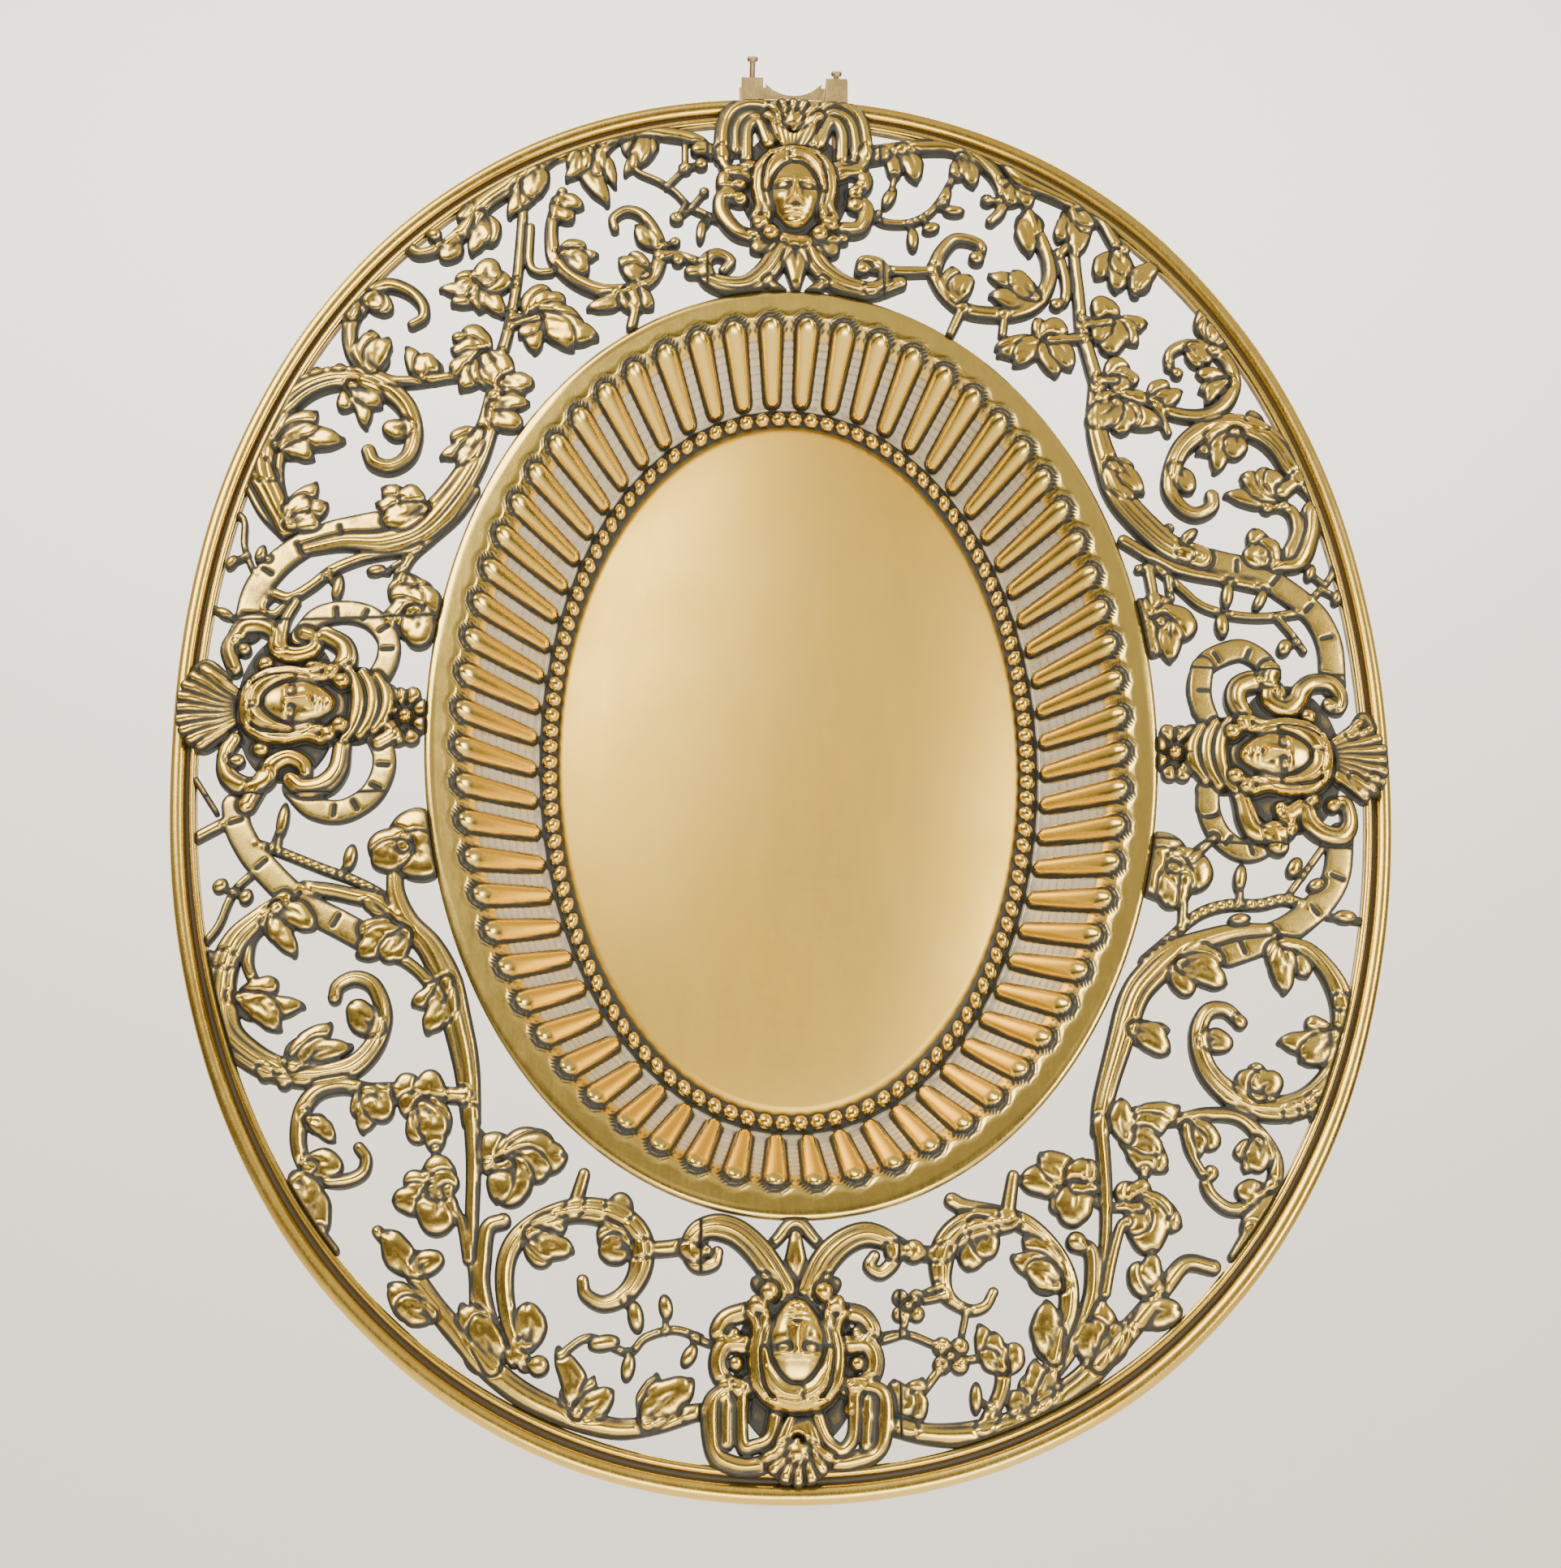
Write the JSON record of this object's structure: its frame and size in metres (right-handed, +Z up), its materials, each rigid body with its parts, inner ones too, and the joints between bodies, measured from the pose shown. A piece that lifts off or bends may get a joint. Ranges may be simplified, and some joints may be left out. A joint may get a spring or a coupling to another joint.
{
  "type": "wall plaque",
  "caption": "Oval pierced brass wall plaque with a beaded, gadrooned dish, scrollwork and masks round its border, hung by a wire ring on a nailed wall hook.",
  "frame": {"origin": "on the wall hook's back, where it lies on the wall", "axes": "+Z up, +Y into the wall, +X to the right of someone facing the plaque"},
  "size_m": [0.355, 0.0457, 0.4561],
  "materials": {
    "cast_brass": "polished on the high places, dark patina in the hollows",
    "satin_brass": "satin, finely scratched",
    "sheet_brass": "dull",
    "wire_brass": "drawn wire",
    "hook_brass": "bright plated sheet",
    "nail_steel": "dark, lightly rusted"
  },
  "bodies": {
    "hook": {"wall_hook": "hook_brass", "nail_left": "nail_steel", "nail_right": "nail_steel"},
    "ring": {"hanging_ring": "wire_brass"},
    "plaque": {"rim_moulding": "cast_brass", "dished_pan": "cast_brass", "bead_ring": "cast_brass", "well_plate": "satin_brass", "scroll_panel_upper_left": "cast_brass", "scroll_panel_upper_right": "cast_brass", "scroll_panel_lower_left": "cast_brass", "scroll_panel_lower_right": "cast_brass", "mask_top": "cast_brass", "mask_bottom": "cast_brass", "mask_left": "cast_brass", "mask_right": "cast_brass", "hanger_bracket": "sheet_brass", "bracket_rivets": "sheet_brass"}
  },
  "joints": [
    {"name": "ring_sway", "type": "hinge", "parent": "hook", "child": "ring", "pos_m": [0, -0.0034, -0.022], "axis": [0, 1, 0], "range_deg": [-6, 6]},
    {"name": "plaque_tilt", "type": "hinge", "parent": "ring", "child": "plaque", "pos_m": [0, -0.0034, -0.0333], "axis": [-1, 0, 0], "range_deg": [0, 10]}
  ]
}
